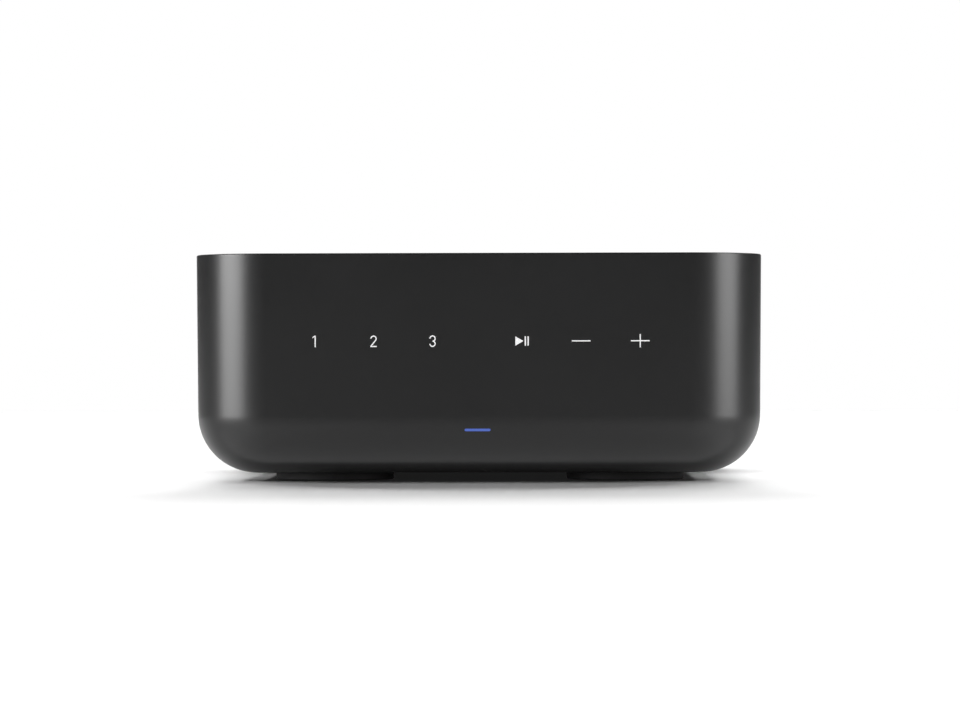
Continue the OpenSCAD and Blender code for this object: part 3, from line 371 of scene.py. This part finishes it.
def addWall(shape, inset, grow):
    # one skin of the wall, left open at the bay, and the loft from that opening to the bay's outline:
    # straight lines from edge to edge in x and z, laid on the wall in y
    section = tubSkin(inset)
    grid = swept(section)
    first, rows = tub["cornerSteps"], tub["baseSteps"] - tub["bayRows"]
    keep = np.ones((grid.shape[0], grid.shape[1] - 1), bool)
    keep[first:first + bayRun, rows:] = False
    shape.grid(grid, closeU=True, keep=keep)
    low = grid[first:first + bayRun, rows]
    left = grid[first + bayRun, rows:-1]
    high = grid[first + bayRun:first:-1, -1]
    right = grid[first, -1:rows:-1]
    edge = np.concatenate([low, left, high, right])[:, [0, 2]]
    share = np.linspace(0, 1, bay["rings"] + 1)[:, None, None]
    flat = edge * (1 - share) + bayRing(grow) * share
    y = tub["half"] + skinLine(flat[..., 1], inset)
    shape.grid(atDepth(flat, y).transpose(1, 0, 2), closeU=True)
    return section[-1]


def addBase(shape):
    # the base as four quarters, each lofted from its outline to the recess of its foot
    loop = swept([(roundX, tub["base"])])[:, 0, :2]
    count = len(loop)
    mids = [tub["cornerSteps"] + bayRun // 2]
    start = tub["cornerSteps"] + bayRun
    for _ in range(3):
        mids.append(start + tub["cornerSteps"] + 1)
        start += tub["cornerSteps"] + 2
    for i, (sx, sy) in enumerate(((-1, 1), (-1, -1), (1, -1), (1, 1))):
        last = mids[(i + 1) % 4] + (count if i == 3 else 0)
        outer = loop[np.arange(mids[i], last + 1) % count]
        share = np.linspace(0, 1, foot["seamSteps"] + 1)[:, None]
        edge = np.concatenate([outer, outer[-1] * (1 - share[1:]), outer[0] * share[1:-1]])
        spot = np.array([sx, sy]) * foot["spot"]
        away = edge - spot
        ring = spot + away / np.linalg.norm(away, axis=1, keepdims=True) * (foot["r"] + foot["gap"])
        flat = np.stack([edge, (edge + ring) / 2, ring, ring, ring * 0 + spot], 1)
        level = np.array([0, 0, 0, foot["sink"], foot["sink"]]) + tub["base"]
        shape.grid(atLevel(flat, level[None, :, None]), closeU=True)


def fill(shape, loop):  # a flat face from a ring of points to its middle
    flat = loop[:, None, :2] * fillRings[None, :, None]
    shape.grid(atLevel(flat, loop[:, None, 2:]), closeU=True)


def makeTub():
    # two skins of the wall, each with a floor, joined above by the rim and behind by the bay's mouth
    shape = Shape()
    outer, inner = addWall(shape, 0.0, bay["edge"]), addWall(shape, tub["wall"], bay["collar"])
    rimZ = tub["top"] - tub["rimRound"]
    rimX = wallLine(rimZ) - tub["rimRound"] / upright
    inside, seat, lip = wallLine(tub["top"], tub["rimWidth"]), tub["seat"], tub["lipRound"]
    shape.grid(swept(np.concatenate([
        [outer], arc((rimX, rimZ), tub["rimRound"], -tub["lean"], 90, tub["rimSteps"]),
        arc((inside + lip, tub["top"] - lip), lip, 90, 180, tub["lipSteps"]),
        [(wallLine(seat, tub["rimWidth"]), seat), (wallLine(seat, tub["wall"]), seat), inner],
    ])), closeU=True)
    # mouth of the bay: a rounded edge, the collar to its back, and the collar's outside to the inner skin
    mouth = []
    for a in np.radians(np.linspace(0, 90, bay["edgeSteps"] + 1)):
        flat = bayRing(bay["edge"] * (1 - sin(a)))
        mouth.append(atDepth(flat, tub["half"] + skinLine(flat[:, 1]) - bay["edge"] * (1 - cos(a))))
    for grow in (0.0, bay["collar"]):
        mouth.append(atDepth(bayRing(grow), bay["back"]))
    flat = bayRing(bay["collar"])
    mouth.append(atDepth(flat, tub["half"] + skinLine(flat[:, 1], tub["wall"])))
    shape.grid(np.stack(mouth, 1), closeU=True)
    addBase(shape)
    fill(shape, swept([(roundX, tub["base"] + tub["wall"])])[:, 0])
    shape.piece("housing_shell", "housing_black", ["housing"])


makeTub()

# The lid: a flat plate with a softened edge, and the posts that end just below it
lid = dict(gap=0.25, top=71.8, edge=0.3, edgeSteps=5, post=4.0, postLow=32.4, postGap=0.01, postSides=32)


def makeLid():
    # a section with a quarter round carried round the plan, filled above and below, and turned posts
    shape = Shape()
    inset = tub["rimWidth"] + lid["gap"]
    edge = wallLine(lid["top"], inset) - lid["edge"]
    grid = swept(np.concatenate([
        [(wallLine(tub["seat"], inset), tub["seat"])],
        arc((edge, lid["top"] - lid["edge"]), lid["edge"], 0, 90, lid["edgeSteps"]),
    ]))
    shape.grid(grid, closeU=True)
    fill(shape, grid[:, -1])
    fill(shape, grid[:, 0])
    r, low, high = lid["post"], lid["postLow"], tub["seat"] - lid["postGap"]
    post = [(0, low), (r, low), (r, high), (0, high)]
    for sx in (-1, 1):
        for sy in (-1, 1):
            turned(shape, post, (sx * foot["spot"], sy * foot["spot"], 0), count=lid["postSides"])
    shape.piece("lid_plate", "cover_black", ["top_cover"])


makeLid()


def makeFeet():
    # a disc's profile with a rounded lower edge, turned about the axis of each foot
    r, e, h, t = foot["r"], foot["edge"], tub["base"] + foot["sink"], foot["topEdge"]
    profile = np.concatenate([
        [(0, 0), (r / 2, 0)],
        arc((r - e, e), e, -90, 0, foot["edgeSteps"]),
        [(r, h - t), (r - t, h), (0, h)],
    ])
    for end, sy in (("front", -1), ("rear", 1)):
        for side, sx in (("left", -1), ("right", 1)):
            spot = (sx * foot["spot"], sy * foot["spot"], 0)
            shape = turned(Shape(), profile, spot, count=foot["sides"])
            name = "foot_%s_%s" % (end, side)
            shape.piece("rubber_" + name, "foot_rubber", [name])


makeFeet()

# Touch symbols: thin inlays between two edge curves, laid on the leaning front wall.
# The 2 has its hook's end as an angle, and its toe and heel in strokes.
sign = dict(level=44.4, stroke=0.35, digit=3.6, raised=0.03, sunk=0.12, group=14.0, pitch=18.45, width=5.85,
            height=4.15, flag=(0.7, 0.5), hook=-35, hookSteps=30, toe=1.2, heel=1.1, bowlSteps=36,
            playWidth=2.5, playHeight=2.9, playTip=0.02, bar=0.42, gapPlay=0.4, gapBars=0.46)
signRing = (sign["digit"] + sign["stroke"]) / 4


def addInlay(shape, x, left, right):
    # strip between two edges in the wall's own plane, closed at its ends
    left, right = np.asarray(left, float), np.asarray(right, float)
    ends = (left + right) / 2
    left, right = (np.concatenate([ends[:1], e, ends[-1:]]) for e in (left, right))
    flat = np.stack([left, left, right, right], 1)
    rise = np.array([-sign["sunk"], sign["raised"], sign["raised"], -sign["sunk"]])
    rise = np.broadcast_to(rise, flat.shape[:2]).copy()
    rise[[0, -1]] = (sign["raised"] - sign["sunk"]) / 2
    tilt = radians(tub["lean"])
    y = -(tub["half"] + wallLine(sign["level"])) - flat[..., 1] * sin(tilt) - rise * cos(tilt)
    z = sign["level"] + flat[..., 1] * cos(tilt) - rise * sin(tilt)
    shape.grid(np.stack([x + flat[..., 0], y, z], -1), closeV=True)


def addBar(shape, x, low, high):  # an upright rectangle from its two corners
    addInlay(shape, x, [(low[0], low[1]), (low[0], high[1])], [(high[0], low[1]), (high[0], high[1])])


def addDigits(shape, one, two, three):
    # strips between pairs of edges: straight ones for the 1 and the feet, arcs of two radii for the bowls
    half, s, r = sign["digit"] / 2, sign["stroke"], signRing
    fx, fy = sign["flag"]
    addBar(shape, one, (0, -half), (s, half))
    addInlay(shape, one, [(-fx, half - fy), (0, half)], [(-fx, half - s - fy), (0, half - s)])
    toe, heel = (sign["toe"] * s - r, s - half), (-r, sign["heel"] * s - half)
    outer, inner = (arc((0, half - r), size, 180, sign["hook"], sign["hookSteps"]) for size in (r, r - s))
    addInlay(shape, two, np.concatenate([outer, [toe]]), np.concatenate([inner, [heel]]))
    addInlay(shape, two, [heel, toe, (r, s - half)], [(-r, -half), (toe[0], -half), (r, -half)])
    for side in (1, -1):
        outer, inner = (arc((0, side * (half - r)), size, 180 * side, -90 * side, sign["bowlSteps"])
                        for size in (r, r - s))
        addInlay(shape, three, outer, inner)


def makeSigns():
    # the triangle lies between two mirrored edges, and the other signs are upright rectangles
    shape = Shape()
    play, minus, plus = (sign["group"] + i * sign["pitch"] for i in range(3))
    addDigits(shape, -plus, -minus, -play)
    w, h, b, tip = sign["playWidth"], sign["playHeight"] / 2, sign["bar"], sign["playTip"]
    start = -(w + 2 * b + sign["gapPlay"] + sign["gapBars"]) / 2
    edge = np.array([(0, h), (w / 2, h / 2), (w - tip, tip)])
    addInlay(shape, play + start, edge, edge * [1, -1])
    for i in range(2):
        at = start + w + sign["gapPlay"] + i * (b + sign["gapBars"])
        addBar(shape, play, (at, -h), (at + b, h))
    across, up, thin = sign["width"] / 2, sign["height"] / 2, sign["stroke"] / 2
    for x in (minus, plus):
        addBar(shape, x, (-across, -thin), (across, thin))
    for low, high in ((thin, up), (-up, -thin)):
        addBar(shape, plus, (-thin, low), (thin, high))
    shape.piece("touch_signs", "symbol_white", ["key_symbols"])


makeSigns()

# Status light: a rounded bar that follows the curved foot of the front wall
light = dict(level=16.6, length=8.1, height=0.80, raised=0.02, depth=0.6, rows=16, columns=32)


def makeStatusLight():
    # rows at the heights of a half circle, each as long as the bar is there, laid on the wall's section
    r = light["height"] / 2
    a = np.radians(np.linspace(-90, 90, light["rows"] + 1))[:, None]
    share = np.linspace(-1, 1, light["columns"] + 1)[None]
    x = share * (light["length"] / 2 - r + r * np.cos(a))
    z = light["level"] + r * np.sin(a) + 0 * share
    front = -(tub["half"] + skinLine(z)) - light["raised"]
    shape = Shape()
    face, back = np.stack([x, front, z], -1), np.stack([x, front + light["depth"], z], -1)
    shape.grid(face)
    shape.grid(back)
    rim = [np.concatenate([g[0, :-1], g[:-1, -1], g[-1, :0:-1], g[:0:-1, 0]]) for g in (face, back)]
    shape.grid(np.stack(rim, 1), closeU=True)
    shape.piece("status_bar", "status_blue", ["status_light_guide"])


makeStatusLight()

# Round connectors at the back, turned about axes that run out of the panel
jack = dict(xs=(-36.0, -50.0), levels=(47.5, 34.0), back=78.0, flange=4.95, flangeY=80.4, flangeRound=0.25,
            flangeSteps=4, shell=4.15, bore=3.5, groove=(0.9, 1.42), grooveDeep=0.12, tip=88.6, tipRound=0.3,
            tipSteps=5, core=3.45, coreY=88.0, hole=2.05, contactIn=1.6, contactOut=2.0, contactY=87.7,
            contactSides=48, edge=0.1)


def makeJacks():
    # profiles of (radius, depth): the shell with its groove, the insert with its flange, the spring contact
    j = jack
    shell, bore, tip, tipR = j["shell"], j["bore"], j["tip"], j["tipRound"]
    flange, flangeY, flangeR = j["flange"], j["flangeY"], j["flangeRound"]
    back, hole, core, coreY = j["back"], j["hole"], j["core"], j["coreY"]
    inner, outer, end, edge = j["contactIn"], j["contactOut"], j["contactY"], j["edge"]
    start, stop = (flangeY + g for g in j["groove"])
    deep = j["grooveDeep"]
    shellLine = np.concatenate([
        [(bore, flangeY), (shell, flangeY), (shell, start), (shell - deep, start + deep)],
        [(shell - deep, stop - deep), (shell, stop)],
        arc((shell - tipR, tip - tipR), tipR, 0, 90, j["tipSteps"]),
        [(bore + edge, tip), (bore, tip - edge), (bore, flangeY)],
    ])
    insertLine = np.concatenate([
        [(hole, back), (flange, back)],
        arc((flange - flangeR, flangeY - flangeR), flangeR, 0, 90, j["flangeSteps"]),
        [(core, flangeY), (core, coreY), (hole, coreY), (hole, back)],
    ])
    contactLine = [(inner, back), (outer, back), (outer, end - edge), (outer - edge, end),
                   (inner + edge, end), (inner, end - edge), (inner, back)]
    shells, white, red, contacts = Shape(), Shape(), Shape(), Shape()
    for x in j["xs"]:
        for z, insert in zip(j["levels"], (white, red)):
            turned(shells, shellLine, (x, 0, z), "y")
            turned(insert, insertLine, (x, 0, z), "y")
            turned(contacts, contactLine, (x, 0, z), "y", j["contactSides"])
    shells.piece("jack_shells", "nickel_plate", ["line_shells"])
    white.piece("jack_inserts_white", "socket_white", ["line_left_inserts"])
    red.piece("jack_inserts_red", "socket_red", ["line_right_inserts"])
    contacts.piece("jack_contacts", "gold_plate", ["line_contacts"])


makeJacks()

# Set-up button: the dish of its face as (radius, depth) points
press = dict(x=27.5, z=32.0, back=76.7, flange=3.7, flangeT=1.0, r=2.5, tip=81.2, edge=0.35, edgeSteps=5,
             dish=((1.6, 0.02), (1.2, 0.09), (0.7, 0.162), (0.0, 0.18)), sides=64)


def makeButton():
    # a flange, a rounded edge and a dished face, turned about the button's axis
    p = press
    r, e, tip, shoulder = p["r"], p["edge"], p["tip"], p["back"] + p["flangeT"]
    profile = np.concatenate([
        [(0, p["back"]), (p["flange"], p["back"]), (p["flange"], shoulder), (r, shoulder)],
        arc((r - e, tip - e), e, 0, 90, p["edgeSteps"]),
        [(out, tip - deep) for out, deep in p["dish"]],
    ])
    shape = turned(Shape(), profile, (p["x"], 0, p["z"]), "y", p["sides"])
    shape.piece("setup_cap", "button_grey", ["setup_button"], body="setup_button")


makeButton()

# Screws of the rear panel: crown and edge round the head, slot and reach are half sizes of its cross
screw = dict(xs=(-59.5, 59.5), z=41.0, seat=80.0, r=2.8, head=1.8, crown=0.25, edge=0.35, shank=1.5, end=72.0,
             slot=0.36, slotEdge=0.1, reach=1.55, ramp=0.5, deep=0.95, sides=144, rings=30, edgeRings=6,
             edgeStart=15)


def makePanelScrews():
    # pan heads: a low dome over radius and angle, less a cross whose arms have sloping sides
    s = screw
    e, inner = s["edge"], s["r"] - s["edge"]
    a = np.linspace(0, 2 * np.pi, s["sides"], endpoint=False)[:, None]
    bend = np.radians(np.linspace(s["edgeStart"], 90, s["edgeRings"]))
    r = np.concatenate([np.linspace(0, inner, s["rings"]), inner + e * np.sin(bend)])[None]
    past = np.clip(r - inner, 0, None) / e
    dome = s["head"] - s["crown"] * (r / s["r"]) ** 2 - e * (1 - np.sqrt(np.clip(1 - past ** 2, 0, 1)))
    u, v = np.abs(r * np.cos(a)), np.abs(r * np.sin(a))
    across = np.clip((s["slot"] + s["slotEdge"] - np.minimum(u, v)) / (2 * s["slotEdge"]), 0, 1)
    along = np.clip((s["reach"] - np.maximum(u, v)) / s["ramp"], 0, 1)
    top = s["seat"] + dome - s["deep"] * np.minimum(across, along)
    rim = s["seat"] + s["head"] - s["crown"] - e
    below = [(s["r"], rim), (s["r"], s["seat"]), (s["shank"], s["seat"]),
             (s["shank"], s["end"]), (0, s["end"])]
    shape = Shape()
    for x in s["xs"]:
        shape.grid(np.stack([x + r * np.cos(a), top, s["z"] + r * np.sin(a)], -1), closeU=True)
        turned(shape, below, (x, 0, s["z"]), "y", s["sides"])
    shape.piece("panel_screws", "black_steel", ["rear_panel_screws"])


makePanelScrews()

# Pins of the mains inlet
pins = dict(xs=(40.7, 49.3), z=34.5, r=1.18, start=63.3, tip=76.8, tipSteps=10, sides=40)


def makeMainsPins():
    # a straight side and a quarter circle, turned about the axis of each pin
    shape = Shape()
    r, start, tip = pins["r"], pins["start"], pins["tip"]
    profile = np.concatenate([[(0, start), (r, start)], arc((0, tip - r), r, 0, 90, pins["tipSteps"])])
    for x in pins["xs"]:
        turned(shape, profile, (x, 0, pins["z"]), "y", pins["sides"])
    shape.piece("inlet_pins", "nickel_plate", ["mains_pins"])


makeMainsPins()

# The other CAD nodes keep their shape: they get their finish, and what shows gets softened edges, in mm
softened = dict(rear_panel=0.25, mains_inlet=0.3, usb_shell=0.1, usb_tongue=0.12, ethernet_shield=0.15,
                ethernet_insert=0.12, ethernet_lights=0.1, optical_socket=0.2, optical_shutter=0.15,
                line_out_block=0.2, line_in_block=0.2)
softening = dict(weld=0.002, segments=2, angle=40.0)
for name, obj in nodes.items():
    slot = obj.material_slots[0].material.name.split(".")[0]
    for place in obj.material_slots:
        place.material = material[slot]
    if name in softened:
        weld = obj.modifiers.new("weld", "WELD")
        weld.merge_threshold = softening["weld"] * mm
        bevel = obj.modifiers.new("edge", "BEVEL")
        bevel.width = softened[name] * mm
        bevel.segments = softening["segments"]
        bevel.limit_method = "ANGLE"
        bevel.angle_limit = radians(softening["angle"])
        bevel.use_clamp_overlap = True
print("nodes finished")

# Stage: a pale floor and a white card behind. The floor's colour is painted darker past its width and its
# near edge, in mm, as a painted fall-off of light, and its faint glow is painted light in the shade under the
# object.
# The room is dim at eye level and brighter overhead.
stage = dict(floor=0.97, far=0.30, paper=450.0, near=950.0, fade=700.0, rough=0.9, glow=0.010, reach=14.0,
             level=-0.0002, card=(0.62, 0.55), cardY=1.5, roomLow=0.06, roomHigh=0.34)


def stageSheet(name, points, finish):  # one flat face
    mesh = bpy.data.meshes.new(name)
    mesh.from_pydata(points, [], [(0, 1, 2, 3)])
    mesh.materials.append(finish.owner)
    obj = bpy.data.objects.new(name, mesh)
    scene.collection.objects.link(obj)
    return obj


def makeFloor():
    # pale on the paper, then painted darker with the distance past its nearest edge, a painted fall-off of
    # light
    f = Finish(bpy.data.materials.new("floor_paper"))
    side = f.add("ShaderNodeMath", {"operation": "ABSOLUTE"}, {0: f.axis("X")})
    aside = (side - stage["paper"]) * (1 / stage["fade"])
    ahead = (f.axis("Y") * -1.0 - stage["near"]) * (1 / stage["fade"])
    away = f.add("ShaderNodeMath", {"operation": "MAXIMUM"}, {0: aside, 1: ahead})
    # the floor's faint emission is painted light that lifts the shade under the object
    f.set(
        Base_Color=f.mix(away, grey(stage["floor"]), grey(stage["far"])), Roughness=stage["rough"],
        Specular_IOR_Level=0.0, Emission_Color=grey(1.0), Emission_Strength=stage["glow"],
    )
    far, z = stage["reach"], stage["level"]
    return stageSheet("floor", [(-far, -far, z), (far, -far, z), (far, far, z), (-far, far, z)], f)


def makeBackdrop():
    # white to the camera and in reflections, while it lights nothing
    f = Finish(bpy.data.materials.new("backdrop_card"))
    seen, mirrored, through = (f.add("ShaderNodeLightPath", {}, {}, "Is %s Ray" % kind)
                               for kind in ("Camera", "Glossy", "Transmission"))
    f.set(Base_Color=grey(0.0), Specular_IOR_Level=0.0, Emission_Color=grey(1.0),
          Emission_Strength=seen + mirrored + through)
    half, high = stage["card"]
    y, low = stage["cardY"], stage["level"]
    card = stageSheet("backdrop", [(-half, y, low), (half, y, low), (half, y, high), (-half, y, high)], f)
    card.visible_shadow = False  # the light from behind passes it
    card.visible_diffuse = False


paperOnly = bpy.data.collections.new("paper_only")  # what the lamps that only brighten the paper shine on
paperOnly.objects.link(makeFloor())
makeBackdrop()
scene.world = bpy.data.worlds.new("room")
room = Finish(scene.world, "Background", "Generated")
height = room.add("ShaderNodeSeparateXYZ", {}, {"Vector": room.place}, "Z")
room.set(Color=room.mix(height, grey(stage["roomLow"]), grey(stage["roomHigh"])))

# Lamps in pairs, left and right, each with two powers. Azimuth 0 is the front, and the left one is mirrored.
# Suns from behind cast the shadow, and narrow spots open it beside the rounded corners. What is marked
# paper lights the floor alone.
spotDistance = 1.2
pairs = dict(
    low=dict(azimuth=172.0, elevation=25.5, spread=22.0, power=(2.0, 2.0), paper=True),
    high=dict(azimuth=152.0, elevation=47.0, spread=30.0, power=(0.78, 0.78), paper=False),
    corner=dict(azimuth=135.0, elevation=35.0, aim=(0.099, -0.116), beam=5.0, soft=0.05,
                power=(34.0, 30.6), paper=True),
    side=dict(azimuth=90.0, elevation=27.0, aim=(0.083, -0.012), beam=5.0, soft=0.04,
              power=(26.0, 32.5), paper=True),
    above=dict(azimuth=90.0, elevation=44.0, aim=(0.089, -0.014), beam=5.2, soft=0.05,
               power=(30.0, 34.5), paper=True),
    front=dict(azimuth=16.0, elevation=20.0, aim=(0.084, -0.082), beam=2.9, soft=0.015,
               power=(32.0, 27.2), paper=True),
)
# Tall soft boxes draw the bright bands on the corners: cards for the gloss alone, so that the floor keeps
# its shadow. The bounce lies on the floor in front and lights the round foot of the wall from below.
boxes = dict(
    left=dict(azimuth=-60.5, distance=2.0, width=1.3, height=1.6, power=157.0),
    right=dict(azimuth=63.5, distance=2.0, width=1.15, height=1.6, power=98.0),
)
bounce = dict(spot=(0.0, -0.115, 0.0008), width=0.24, height=0.07, power=0.046)


def lightWay(azimuth, elevation):  # the way that light goes from a lamp round the object and above it
    a, e = radians(azimuth), radians(elevation)
    return Vector((-sin(a) * cos(e), cos(a) * cos(e), -sin(e)))


def addLamp(name, kind, power, way, spot):
    lamp = bpy.data.objects.new(name, bpy.data.lights.new(name, kind))
    scene.collection.objects.link(lamp)
    lamp.data.energy = power
    lamp.location = spot
    lamp.rotation_mode = "QUATERNION"
    lamp.rotation_quaternion = way.to_track_quat("-Z", "Y")
    return lamp


def addPanel(name, s, way, spot):  # an area lamp
    lamp = addLamp(name, "AREA", s["power"], way, spot)
    lamp.data.shape = "RECTANGLE"
    lamp.data.size = s["width"]
    lamp.data.size_y = s["height"]
    return lamp


for name, s in pairs.items():
    for word, side, power in zip(("Left", "Right"), (-1, 1), s["power"]):
        way = lightWay(side * s["azimuth"], s["elevation"])
        if "aim" in s:
            x, y = s["aim"]
            lamp = addLamp(name + word, "SPOT", power, way, Vector((side * x, y, 0)) - way * spotDistance)
            lamp.data.spot_size = radians(s["beam"])
            lamp.data.spot_blend = 1.0
            lamp.data.shadow_soft_size = s["soft"]
            lamp.visible_glossy = False
        else:
            lamp = addLamp(name + word, "SUN", power, way, (0, 0, 0))
            lamp.data.angle = radians(s["spread"])
        if s["paper"]:
            lamp.light_linking.receiver_collection = paperOnly
for name, s in boxes.items():
    way = lightWay(s["azimuth"], 0.0)
    spot = Vector((0, 0, s["height"] / 2)) - way * s["distance"]
    addPanel(name, s, way, spot).visible_diffuse = False
addPanel("bounce", bounce, Vector((0, 0, 1)), bounce["spot"]).visible_camera = False

# Camera: axisX is the column of the picture in which the object's middle stands
lens = dict(focal=136.8, sensor=36.0, distance=1.23, height=0.03848, azimuth=1.05, roll=0.12, axisX=482.6,
            pixels=960)
camera = bpy.data.objects.new("camera", bpy.data.cameras.new("camera"))
scene.collection.objects.link(camera)
camera.data.lens = lens["focal"]
camera.data.sensor_width = lens["sensor"]
around = radians(lens["azimuth"])
turn = around + (lens["axisX"] - lens["pixels"] / 2) / (lens["focal"] / lens["sensor"] * lens["pixels"])
camera.matrix_world = (
    Matrix.Translation((lens["distance"] * sin(around), -lens["distance"] * cos(around), lens["height"]))
    @ Matrix.Rotation(turn, 4, "Z")
    @ Matrix.Rotation(radians(90), 4, "X")
    @ Matrix.Rotation(radians(-lens["roll"]), 4, "Z")
)
scene.camera = camera
print("stage ready")
